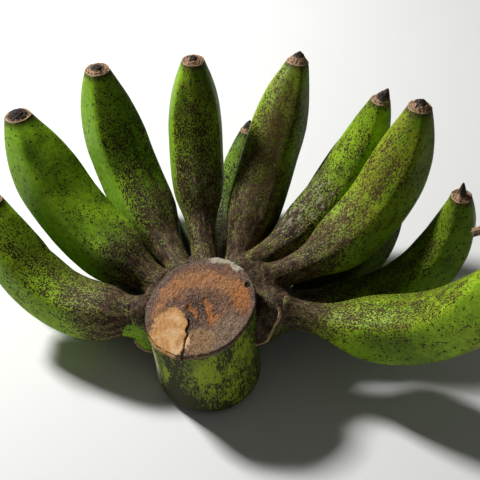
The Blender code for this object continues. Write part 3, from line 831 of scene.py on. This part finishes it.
def add_stalk_cut(material):
    """The cut face: a lens of rings from under its rim over the rough slanting face to its middle.

    Height is the cut's plane plus fibre noise, lower in the rotten middle, the slots and the crack.
    """
    settings = bpy.context.scene.banana_stalk
    sides, rows = 300, 130
    angles = (-np.arange(sides) * 2 * math.pi / sides)[None, :]
    share = np.linspace(1, 0.004, rows)[:, None]
    radius = STALK_RADIUS * share
    radius = radius + rim_wave(angles) * share ** 8
    x = radius * np.cos(angles) - STALK_LEAN
    y = radius * np.sin(angles)
    u, v = (x + STALK_LEAN) / MM, y / MM
    marks = cut_marks(u, v)
    place = np.stack([u, v, 0 * u], axis=-1)
    fibre = 0.5 * lattice_noise(place, 3.2, 81) + 0.35 * lattice_noise(place, 1.3, 82)
    fibre = fibre + 0.35 * lattice_noise(place * np.array([1, 0.3, 1]), 0.9, 83)
    rough = 1 - 0.75 * marks["tan"]
    crack_route = [(-7, -9), (-8, -18), (-9, -27), (-12, -36)]
    crack = band(u + 1.2 * lattice_noise(place, 4.0, 84), v, crack_route, 0.8, 0.8)
    hole = oval(u, v, 32, 10, 1.8, 1.9, 0, 0.5)
    height = settings.fibre_depth * fibre * rough
    height = height - 1.1 * MM * marks["dark"] - 1.5 * MM * crack - 3 * MM * hole
    height = height - 0.8 * MM * marks["slots"] + 0.5 * MM * marks["crust"]
    height = height - 0.5 * MM * marks["tan"]
    height = height - 1.3 * MM * ease((share - 0.955) / 0.045) ** 2
    height = height + rim_wave(angles + 1) * share ** 8
    z = cut_height(x, y) + height - 0.6 * MM
    top = np.stack([x, y, z], axis=-1)
    skirt = np.stack([x[0] * 0.992 - 0.008 * STALK_LEAN, y[0] * 0.992, z[0] - 2.5 * MM], axis=-1)
    rings = np.concatenate([skirt[None], top])
    middle = np.array([-STALK_LEAN, 0, z[-1].mean()])
    under = np.array([-STALK_LEAN, 0, cut_height(-STALK_LEAN, 0) - 9 * MM])
    mesh = mesh_from_rings("stalk_cut", rings, under, middle)
    set_attribute(mesh, "skin", rings)
    for name, values in marks.items():
        set_attribute(mesh, name, np.concatenate([values[:1], values]))
    set_attribute(mesh, "pit", np.concatenate([crack[:1], np.maximum(crack, hole)]))
    add_piece(mesh.name, mesh, material, ["stalk_and_crown"])


def add_node(tree, kind, inputs=None, output=0, stops=(), **settings):
    """Adds a shader node with its settings, inputs and a ramp's stops, and gives one output.

    An input that is another node's output is linked, and any other is set as the socket's value.
    """
    node = tree.nodes.new("ShaderNode" + kind)
    for key, value in settings.items():
        setattr(node, key, value)
    for key, value in (inputs or {}).items():
        if isinstance(value, bpy.types.NodeSocket):
            tree.links.new(value, node.inputs[key])
        else:
            node.inputs[key].default_value = value
    for place, (position, colour) in enumerate(stops):
        elements = node.color_ramp.elements
        element = elements[place] if place < 2 else elements.new(position)
        element.position, element.color = position, colour
    return node.outputs[output]


# Inputs that go by number because their names repeat: those of Map Range, and of Mix for colours
VALUE, FROM_LOW, FROM_HIGH, TO_LOW, TO_HIGH = range(5)
SHARE, UNDER, OVER = 0, 6, 7
COLOURS = {"data_type": "RGBA", "output": 2}
MULTIPLIED = {"blend_type": "MULTIPLY", **COLOURS}
SMOOTH = {"interpolation_type": "SMOOTHSTEP"}


def new_material(name, roughness):
    """A new material with its node tree and its shader."""
    material = bpy.data.materials.new(name)
    material.use_nodes = True
    shader = material.node_tree.nodes["Principled BSDF"]
    shader.inputs["Roughness"].default_value = roughness
    return material, material.node_tree, shader


def peel_material(name, brightness):
    """Banana peel: a thin waxy skin, so a soft gloss, with latex and scuffs dried to dark speckles.

    On the neck the skin is weathered brown, wrinkled along the finger and rubbed light in places.
    """
    material, tree, shader = new_material(name, 0.5)
    shader.inputs["Specular IOR Level"].default_value = 0.14
    node = partial(add_node, tree)
    peel = bpy.context.scene.banana_peel
    skin = node("Attribute", output="Vector", attribute_name="skin")
    neck, speckles, wax, wear, edge, yellow, grime = (
        node("Attribute", output="Fac", attribute_name=each)
        for each in ("neck", "speckles", "wax", "wear", "edge", "yellow", "grime")
    )
    lengthwise = node(
        "Mapping", {"Vector": skin, "Scale": (1, 1, 0.6), "Location": (1.7, 1.7, 1.7)}
    )
    drawn_out = node("Mapping", {"Vector": skin, "Scale": (1, 1, 0.3), "Location": (5.3, 5.3, 5.3)})

    # Green in soft patches, paler under wax, yellow where the sun was, olive in the neck's flecks
    patches = node("TexNoise", {"Vector": lengthwise, "Scale": 1 / peel.patch_size, "Detail": 3})
    greens = ((0.36, peel.deep), (0.62, peel.bright), (0.48, peel.middle))
    green = node("ValToRGB", {0: patches}, stops=greens)
    green = node("Mix", {SHARE: wax, UNDER: green, OVER: peel.pale}, **COLOURS)
    sunny = node("TexNoise", {"Vector": lengthwise, "Scale": 1 / (14 * MM), "Detail": 3})
    sunny = node(
        "MapRange", {VALUE: sunny, FROM_LOW: 0.28, FROM_HIGH: 0.62, TO_HIGH: 0.65}, **SMOOTH
    )
    sunny = node("Math", {0: sunny, 1: yellow}, operation="MULTIPLY")
    green = node("Mix", {SHARE: sunny, UNDER: green, OVER: peel.sunned}, **COLOURS)
    olive = node("Math", {0: neck, 1: 0.8}, operation="MULTIPLY", use_clamp=True)
    green = node("Mix", {SHARE: olive, UNDER: green, OVER: peel.fleck}, **COLOURS)
    # Dirt in patches, drawn darker on the right sides and on shaded fingers as painted shade
    dirt_and_shade = node("TexNoise", {"Vector": lengthwise, "Scale": 1 / (9 * MM), "Detail": 4})
    dirt_and_shade = node(
        "MapRange", {VALUE: dirt_and_shade, FROM_LOW: 0.3, FROM_HIGH: 0.7, TO_LOW: 0.35, TO_HIGH: 0.75}
    )
    dirt_and_shade = node("Math", {0: dirt_and_shade, 1: grime}, operation="MULTIPLY")
    green = node("Mix", {SHARE: dirt_and_shade, UNDER: green, OVER: peel.speckle}, **COLOURS)

    # Speckles: fine noise in clusters over a level that the speckle and neck maps lower
    fine = node(
        "TexNoise", {"Vector": lengthwise, "Scale": 1 / peel.speckle_size, "Roughness": 0.62}
    )
    clusters = node("TexNoise", {"Vector": lengthwise, "Scale": 1 / (8 * MM)})
    field = node("Math", {0: clusters, 1: 0.34, 2: fine}, operation="MULTIPLY_ADD")
    scattered = node("Math", {0: speckles, 1: 0.30}, operation="MULTIPLY")
    to_neck = node("Math", {0: 0.295, 1: scattered}, operation="SUBTRACT")
    amount = node("Math", {0: neck, 1: to_neck, 2: scattered}, operation="MULTIPLY_ADD")
    amount = node("Math", {0: field, 1: amount}, operation="ADD")
    dark = node("MapRange", {VALUE: amount, FROM_LOW: 0.83, FROM_HIGH: 0.91}, **SMOOTH)
    dots = node("TexVoronoi", {"Vector": lengthwise, "Scale": 1 / peel.dot_spacing})
    dots = node(
        "MapRange",
        {VALUE: dots, FROM_LOW: 0.13, FROM_HIGH: 0.21, TO_LOW: 0.9, TO_HIGH: 0},
        **SMOOTH,
    )
    dark = node("Math", {0: dark, 1: dots}, operation="MAXIMUM")

    # Brown: speckles lighter on yellow peel, and the neck's skin with dirt in its wrinkles
    speckle = node(
        "Mix", {SHARE: yellow, UNDER: peel.speckle, OVER: peel.sunned_speckle}, **COLOURS
    )
    wrinkles = node(
        "TexNoise", {"Vector": drawn_out, "Scale": 1 / (3.2 * MM), "Detail": 4, "Roughness": 0.6}
    )
    browns = ((0.37, peel.neck_dark), (0.66, peel.neck_light), (0.52, peel.neck))
    brown = node("ValToRGB", {0: wrinkles}, stops=browns)
    brown = node("Mix", {SHARE: neck, UNDER: speckle, OVER: brown}, **COLOURS)
    colour = node("Mix", {SHARE: dark, UNDER: green, OVER: brown}, **COLOURS)

    # Rubbed places: grey streaks along the finger with dark cracks between them
    streaks = node(
        "TexNoise", {"Vector": drawn_out, "Scale": 1 / (2.4 * MM), "Detail": 4, "Roughness": 0.7}
    )
    worn = node("Math", {0: wear, 1: 3}, operation="MULTIPLY", use_clamp=True)
    high = node("Math", {0: wear, 1: 0.12, 2: streaks}, operation="MULTIPLY_ADD")
    rubbed = node(
        "MapRange", {VALUE: high, FROM_LOW: 0.62, FROM_HIGH: 0.70, TO_HIGH: 0.85}, **SMOOTH
    )
    rubbed = node("Math", {0: rubbed, 1: worn}, operation="MULTIPLY")
    colour = node("Mix", {SHARE: rubbed, UNDER: colour, OVER: peel.worn}, **COLOURS)
    low = node("Math", {0: wear, 1: -0.08, 2: streaks}, operation="MULTIPLY_ADD")
    cracks = node(
        "MapRange", {VALUE: low, FROM_LOW: 0.345, FROM_HIGH: 0.395, TO_LOW: 1, TO_HIGH: 0}, **SMOOTH
    )
    cracks = node("Math", {0: cracks, 1: worn}, operation="MULTIPLY")
    colour = node("Mix", {SHARE: cracks, UNDER: colour, OVER: peel.crack}, **COLOURS)
    dry = node("Math", {0: fine, 1: 1.4, 2: edge}, operation="MULTIPLY_ADD")
    dry = node("MapRange", {VALUE: dry, FROM_LOW: 0.9, FROM_HIGH: 1.5, TO_HIGH: 0.85}, **SMOOTH)
    dry = node("Math", {0: dry, 1: edge}, operation="MULTIPLY")
    colour = node("Mix", {SHARE: dry, UNDER: colour, OVER: peel.collar}, **COLOURS)

    # Mottled tone times the brightness, which darkens the lower row as painted shade
    mottle = node("TexNoise", {"Vector": skin, "Scale": 1 / (3.5 * MM), "Detail": 3})
    shade = node(
        "MapRange",
        {
            VALUE: mottle, FROM_LOW: 0.3, FROM_HIGH: 0.7,
            TO_LOW: 0.78 * brightness, TO_HIGH: 1.18 * brightness,
        },
    )
    shade = node("CombineColor", {0: shade, 1: shade, 2: shade})
    colour = node("Mix", {SHARE: 1.0, UNDER: colour, OVER: shade}, **MULTIPLIED)
    tree.links.new(colour, shader.inputs["Base Color"])
    rough = node("Math", {0: dark, 1: 0.2, 2: 0.5}, operation="MULTIPLY_ADD")
    tree.links.new(rough, shader.inputs["Roughness"])
    relief = node("Math", {0: dark, 1: -0.5, 2: mottle}, operation="MULTIPLY_ADD")
    relief = node("Math", {0: rubbed, 1: 0.8, 2: relief}, operation="MULTIPLY_ADD")
    coarse = node("Math", {0: neck, 1: wrinkles}, operation="MULTIPLY")
    relief = node("Math", {0: coarse, 1: 1.6, 2: relief}, operation="MULTIPLY_ADD")
    bump = node("Bump", {"Strength": 0.4, "Distance": 0.4 * MM, "Height": relief})
    tree.links.new(bump, shader.inputs["Normal"])
    return material


def dry_scar_material(name, rim):
    """Dried plant tissue: dull, cracked, tan where it is thin, nearly black where it died first."""
    material, tree, shader = new_material(name, 0.85)
    node = partial(add_node, tree)
    scars = bpy.context.scene.banana_scars
    skin = node("Attribute", output="Vector", attribute_name="skin")
    ring = node("Attribute", output="Fac", attribute_name="ring")
    dead = node("Attribute", output="Fac", attribute_name="dead")
    wobble = node("TexNoise", {"Vector": skin, "Scale": 1 / (2.5 * MM), "Detail": 3})
    place = node("Math", {0: wobble, 1: 0.16, 2: ring}, operation="MULTIPLY_ADD")
    stops = [(0.28, scars.ring), (1.05, rim)]
    stops += [(0.38 + 0.075 * k, rim if k % 2 == 0 else scars.ring) for k in range(8)]
    reach = 1.1
    stops = [(position / reach, each) for position, each in stops]
    place = node("Math", {0: place, 1: 1 / reach}, operation="MULTIPLY")
    colour = node("ValToRGB", {0: place}, stops=stops)
    fine = node(
        "TexNoise", {"Vector": skin, "Scale": 1 / scars.crack_size, "Detail": 4, "Roughness": 0.7}
    )
    cracks = node(
        "MapRange", {VALUE: fine, FROM_LOW: 0.53, FROM_HIGH: 0.63, TO_HIGH: 0.65}, **SMOOTH
    )
    colour = node("Mix", {SHARE: cracks, UNDER: colour, OVER: scars.ring}, **COLOURS)
    flakes = node(
        "MapRange",
        {VALUE: fine, FROM_LOW: 0.38, FROM_HIGH: 0.46, TO_LOW: 0.4, TO_HIGH: 0},
        **SMOOTH,
    )
    colour = node("Mix", {SHARE: flakes, UNDER: colour, OVER: scars.flake}, **COLOURS)
    gone = node("Math", {0: wobble, 1: 1.6, 2: dead}, operation="MULTIPLY_ADD")
    gone = node("MapRange", {VALUE: gone, FROM_LOW: 1.12, FROM_HIGH: 1.48, TO_HIGH: 0.93}, **SMOOTH)
    colour = node("Mix", {SHARE: gone, UNDER: colour, OVER: scars.centre}, **COLOURS)
    tree.links.new(colour, shader.inputs["Base Color"])
    bump = node("Bump", {"Strength": 0.7, "Distance": 0.4 * MM, "Height": fine})
    tree.links.new(bump, shader.inputs["Normal"])
    return material


def rind_material():
    """Bunch stalk rind: fibrous, matt, grown over with green and scored by dark upright streaks."""
    material, tree, shader = new_material("fibrous_stalk_rind", 0.75)
    shader.inputs["Specular IOR Level"].default_value = 0.25
    node = partial(add_node, tree)
    stalk = bpy.context.scene.banana_stalk
    skin = node("Attribute", output="Vector", attribute_name="skin")
    pale, dark, lime = (
        node("Attribute", output="Fac", attribute_name=each) for each in ("pale", "dark", "lime")
    )
    upright = node("Mapping", {"Vector": skin, "Scale": (1, 1, 0.5), "Location": (4.2, 4.2, 4.2)})
    drawn_out = node("Mapping", {"Vector": skin, "Scale": (1, 1, 0.14)})
    patches = node(
        "TexNoise", {"Vector": upright, "Scale": 1 / (7 * MM), "Detail": 5, "Roughness": 0.65}
    )
    fresh = node("Math", {0: lime, 1: 0.22, 2: patches}, operation="MULTIPLY_ADD")
    fresh = node("MapRange", {VALUE: fresh, FROM_LOW: 0.50, FROM_HIGH: 0.68}, **SMOOTH)
    colour = node("Mix", {SHARE: fresh, UNDER: stalk.moss, OVER: stalk.lime}, **COLOURS)
    fibres = node(
        "TexNoise",
        {"Vector": drawn_out, "Scale": 1 / stalk.streak_width, "Detail": 4, "Roughness": 0.65},
    )
    # Pale straw fibres on the left edge, partly their own colour and partly painted light
    straw_with_painted_light = node("Math", {0: pale, 1: 0.42, 2: fibres}, operation="MULTIPLY_ADD")
    straw_with_painted_light = node("MapRange", {VALUE: straw_with_painted_light, FROM_LOW: 0.64, FROM_HIGH: 0.80}, **SMOOTH)
    colour = node("Mix", {SHARE: straw_with_painted_light, UNDER: colour, OVER: stalk.straw_with_painted_light}, **COLOURS)
    streaks = node(
        "TexNoise",
        {"Vector": upright, "Scale": 1 / stalk.streak_width, "Detail": 3, "Roughness": 0.65},
    )
    blotches = node(
        "TexNoise", {"Vector": upright, "Scale": 1 / (11 * MM), "Detail": 4, "Roughness": 0.6}
    )
    amount = node("Math", {0: blotches, 1: 0.6, 2: streaks}, operation="MULTIPLY_ADD")
    amount = node("Math", {0: dark, 1: 0.30, 2: amount}, operation="MULTIPLY_ADD")
    amount = node("Math", {0: pale, 1: -0.16, 2: amount}, operation="MULTIPLY_ADD")
    amount = node("Math", {0: lime, 1: -0.05, 2: amount}, operation="MULTIPLY_ADD")
    marked = node(
        "MapRange", {VALUE: amount, FROM_LOW: 0.765, FROM_HIGH: 0.845, TO_HIGH: 0.92}, **SMOOTH
    )
    colour = node("Mix", {SHARE: marked, UNDER: colour, OVER: stalk.bark}, **COLOURS)
    tree.links.new(colour, shader.inputs["Base Color"])
    relief = node("Math", {0: marked, 1: -0.35, 2: fibres}, operation="MULTIPLY_ADD")
    bump = node("Bump", {"Strength": 0.6, "Distance": 0.8 * MM, "Height": relief})
    tree.links.new(bump, shader.inputs["Normal"])
    return material


def cut_material():
    """Cut stalk left to dry: torn fibres browned by air, smooth and tan where the knife slid."""
    material, tree, shader = new_material("weathered_stalk_cut", 0.85)
    shader.inputs["Specular IOR Level"].default_value = 0.25
    node = partial(add_node, tree)
    stalk = bpy.context.scene.banana_stalk
    skin = node("Attribute", output="Vector", attribute_name="skin")
    moved = node("Mapping", {"Vector": skin, "Location": (6.1, 6.1, 6.1)})
    sideways = node("Mapping", {"Vector": skin, "Scale": (1, 0.25, 0.25)})
    cells = node(
        "TexNoise", {"Vector": skin, "Scale": 1 / (3 * MM), "Detail": 5, "Roughness": 0.75}
    )
    fine = node(
        "TexNoise", {"Vector": moved, "Scale": 1 / (0.9 * MM), "Detail": 3, "Roughness": 0.7}
    )
    fibres = node(
        "TexNoise", {"Vector": sideways, "Scale": 1 / (1.2 * MM), "Detail": 3, "Roughness": 0.6}
    )
    broad = node("TexNoise", {"Vector": moved, "Scale": 1 / (9 * MM), "Detail": 3})
    lighter = node("MapRange", {VALUE: broad, FROM_LOW: 0.35, FROM_HIGH: 0.65}, **SMOOTH)
    colour = node(
        "Mix", {SHARE: lighter, UNDER: stalk.cut_purple, OVER: stalk.cut_brown}, **COLOURS
    )
    knots = node("MapRange", {VALUE: broad, FROM_LOW: 0.45, FROM_HIGH: 0.65}, **SMOOTH)
    grained = node("MapRange", {VALUE: fibres, FROM_LOW: 0.38, FROM_HIGH: 0.62}, **SMOOTH)
    smooth = node(
        "Mix", {SHARE: grained, UNDER: stalk.cut_tan, OVER: stalk.cut_tan_dark}, **COLOURS
    )
    smooth = node("Mix", {SHARE: knots, UNDER: smooth, OVER: stalk.cut_tan_light}, **COLOURS)

    # Each patch of the cut: its map's name, its colour, how far the cells break up its edge, how
    # soft that edge is, and how fully it covers. Pits and light fibre ends lie under the last two.
    patches = (
        ("warm", stalk.cut_warm, 3.8, 1.0, 0.85), ("grey", stalk.cut_grey, 2.6, 0.8, 0.85),
        ("mottled", stalk.cut_mottled, 2.6, 0.7, 0.85), ("dark", stalk.cut_dark, 3.2, 0.7, 0.85),
        ("slots", stalk.cut_orange, 3.2, 0.8, 0.8), ("rim", stalk.cut_rim, 2.6, 0.8, 0.85),
    )
    pits = node("MapRange", {VALUE: fine, FROM_LOW: 0.50, FROM_HIGH: 0.62, TO_HIGH: 0.6}, **SMOOTH)
    ends = node(
        "MapRange",
        {VALUE: fine, FROM_LOW: 0.36, FROM_HIGH: 0.45, TO_LOW: 0.4, TO_HIGH: 0},
        **SMOOTH,
    )
    over = (("tan", smooth, 1.7, 0.4, 1.0), ("crust", stalk.cut_crust, 2.6, 0.6, 0.9))
    for name, paint, strength, soft, cover in patches + over:
        if name == "tan":
            colour = node("Mix", {SHARE: pits, UNDER: colour, OVER: stalk.cut_pit}, **COLOURS)
            colour = node("Mix", {SHARE: ends, UNDER: colour, OVER: stalk.cut_fleck}, **COLOURS)
        shown = node("Attribute", output="Fac", attribute_name=name)
        shown = node("Math", {0: cells, 1: strength, 2: shown}, operation="MULTIPLY_ADD")
        level = 0.5 + 0.5 * strength
        low, high = level - soft / 2, level + soft / 2
        shown = node(
            "MapRange", {VALUE: shown, FROM_LOW: low, FROM_HIGH: high, TO_HIGH: cover}, **SMOOTH
        )
        colour = node("Mix", {SHARE: shown, UNDER: colour, OVER: paint}, **COLOURS)
    pit = node("Attribute", output="Fac", attribute_name="pit")
    colour = node("Mix", {SHARE: pit, UNDER: colour, OVER: stalk.cut_pit}, **COLOURS)
    tree.links.new(colour, shader.inputs["Base Color"])
    relief = node("Math", {0: fine, 1: 0.6, 2: cells}, operation="MULTIPLY_ADD")
    bump = node("Bump", {"Strength": 0.9, "Distance": 0.9 * MM, "Height": relief})
    tree.links.new(bump, shader.inputs["Normal"])
    return material


class BANANA_OT_upper_peels(bpy.types.Operator):
    """Builds the peel of the nine fingers in the upper row"""

    bl_idname = "banana.upper_peels"
    bl_label = "Upper Fingers"

    def execute(self, context):
        material = peel_material("waxy_green_peel", UPPER_BRIGHTNESS)
        for number, finger in enumerate(FINGERS):
            if finger.name.startswith("upper"):
                add_peel(finger, PEEL_MARKS[finger.name], number, material)
        return {"FINISHED"}


class BANANA_OT_lower_peels(bpy.types.Operator):
    """Builds the peel of the six fingers in the lower row"""

    bl_idname = "banana.lower_peels"
    bl_label = "Lower Fingers"

    def execute(self, context):
        # The lower row's peel is darkened as painted shade
        material = peel_material("deep_green_peel", LOWER_BRIGHTNESS_WITH_PAINTED_SHADE)
        for number, finger in enumerate(FINGERS):
            if finger.name.startswith("lower"):
                add_peel(finger, LOWER_MARKS, number, material)
        return {"FINISHED"}


class BANANA_OT_flower_scars(bpy.types.Operator):
    """Builds the dry flower scar at each finger's tip, and the one dried flower still on"""

    bl_idname = "banana.flower_scars"
    bl_label = "Flower Scars"

    def execute(self, context):
        material = dry_scar_material("dry_flower_scar", context.scene.banana_scars.rim)
        for number, finger in enumerate(FINGERS):
            marks = PEEL_MARKS.get(finger.name, LOWER_MARKS)
            add_flower_scar(finger, marks, number, material)
        add_dried_flower(material)
        return {"FINISHED"}


class BANANA_OT_crown(bpy.types.Operator):
    """Builds the crown that carries the fingers, and the two dry bract rims on it"""

    bl_idname = "banana.crown"
    bl_label = "Crown"

    def execute(self, context):
        blend = crown_blend()
        add_crown(peel_material("weathered_crown_skin", CROWN_BRIGHTNESS), *blend)
        rim = dry_scar_material("dry_bract_rim", context.scene.banana_stalk.rim_dry)
        for name in BRACT_SCAR_ROUTES:
            add_bract_scar(name, rim, *blend)
        return {"FINISHED"}


class BANANA_OT_stalk(bpy.types.Operator):
    """Builds the stub of the bunch stalk: its rind and its slanting cut"""

    bl_idname = "banana.stalk"
    bl_label = "Stalk Stub"

    def execute(self, context):
        add_stalk_rind(rind_material())
        add_stalk_cut(cut_material())
        return {"FINISHED"}


class BANANA_OT_stage(bpy.types.Operator):
    """Builds the pale floor, the soft lights and the camera"""

    bl_idname = "banana.stage"
    bl_label = "Stage"

    def execute(self, context):
        scene = context.scene
        settings = scene.banana_stage
        floor_mesh = bpy.data.meshes.new("floor")
        corners = [(-1, -1), (1, -1), (1, 1), (-1, 1)]
        corners = [(x * FLOOR_HALF, y * FLOOR_HALF, 0) for x, y in corners]
        floor_mesh.from_pydata(corners, [], [(0, 1, 2, 3)])
        floor = bpy.data.objects.new("floor", floor_mesh)
        scene.collection.objects.link(floor)
        paint, _, shader = new_material("matt_floor_paint", 0.9)
        shader.inputs["Base Color"].default_value = settings.floor
        floor_mesh.materials.append(paint)
        world = bpy.data.worlds.new("even_light")
        world.use_nodes = True
        sky = world.node_tree.nodes["Background"]
        sky.inputs["Color"].default_value = (1, 1, 1, 1)
        sky.inputs["Strength"].default_value = settings.sky
        scene.world = world
        self.add_light("key_light", KEY_LIGHT_PLACE, KEY_LIGHT_SIZE, settings.key_power)
        self.add_light("fill_light", FILL_LIGHT_PLACE, FILL_LIGHT_SIZE, settings.fill_power)
        camera_data = bpy.data.cameras.new("camera")
        camera_data.lens = CAMERA_LENS
        camera_data.sensor_width = CAMERA_SENSOR
        camera = bpy.data.objects.new("camera", camera_data)
        camera.location = CAMERA_PLACE
        camera.rotation_euler = (CAMERA_TILT, 0, 0)
        scene.collection.objects.link(camera)
        scene.camera = camera
        scene.view_settings.view_transform = "Standard"
        return {"FINISHED"}

    def add_light(self, name, place, size, power):
        """A square soft light at a place, turned towards the middle of the hand."""
        data = bpy.data.lights.new(name, "AREA")
        data.size = size
        data.energy = power
        light = bpy.data.objects.new(name, data)
        aim = np.array(place) - np.array(LIGHT_TARGET)
        light.location = place
        flat = math.hypot(aim[0], aim[1])
        light.rotation_euler = (math.atan2(flat, aim[2]), 0, math.atan2(aim[0], -aim[1]))
        bpy.context.scene.collection.objects.link(light)


class BANANA_PT_panel(bpy.types.Panel):
    """Lists the operators in the order in which they run"""

    bl_idname = "BANANA_PT_panel"
    bl_label = "Green Cooking Bananas"
    bl_space_type = "VIEW_3D"
    bl_region_type = "UI"
    bl_category = "Bananas"

    def draw(self, context):
        for operator in OPERATORS:
            self.layout.operator(operator.bl_idname)


SETTINGS = {
    "banana_peel": BananaPeelSettings,
    "banana_scars": BananaScarSettings,
    "banana_stalk": BananaStalkSettings,
    "banana_stage": BananaStageSettings,
}
OPERATORS = [
    BANANA_OT_upper_peels, BANANA_OT_lower_peels, BANANA_OT_flower_scars,
    BANANA_OT_crown, BANANA_OT_stalk, BANANA_OT_stage,
]


def register():
    """Registers the settings, the operators and the panel."""
    for group in SETTINGS.values():
        bpy.utils.register_class(group)
    for name, group in SETTINGS.items():
        setattr(bpy.types.Scene, name, PointerProperty(type=group))
    for operator in OPERATORS + [BANANA_PT_panel]:
        bpy.utils.register_class(operator)


def unregister():
    """Takes back what register does, in the opposite order."""
    for operator in [BANANA_PT_panel] + OPERATORS[::-1]:
        bpy.utils.unregister_class(operator)
    for name, group in SETTINGS.items():
        delattr(bpy.types.Scene, name)
        bpy.utils.unregister_class(group)


def main():
    register()
    bpy.ops.banana.upper_peels()
    bpy.ops.banana.lower_peels()
    bpy.ops.banana.flower_scars()
    bpy.ops.banana.crown()
    bpy.ops.banana.stalk()
    bpy.ops.banana.stage()


if __name__ == "__main__":
    main()
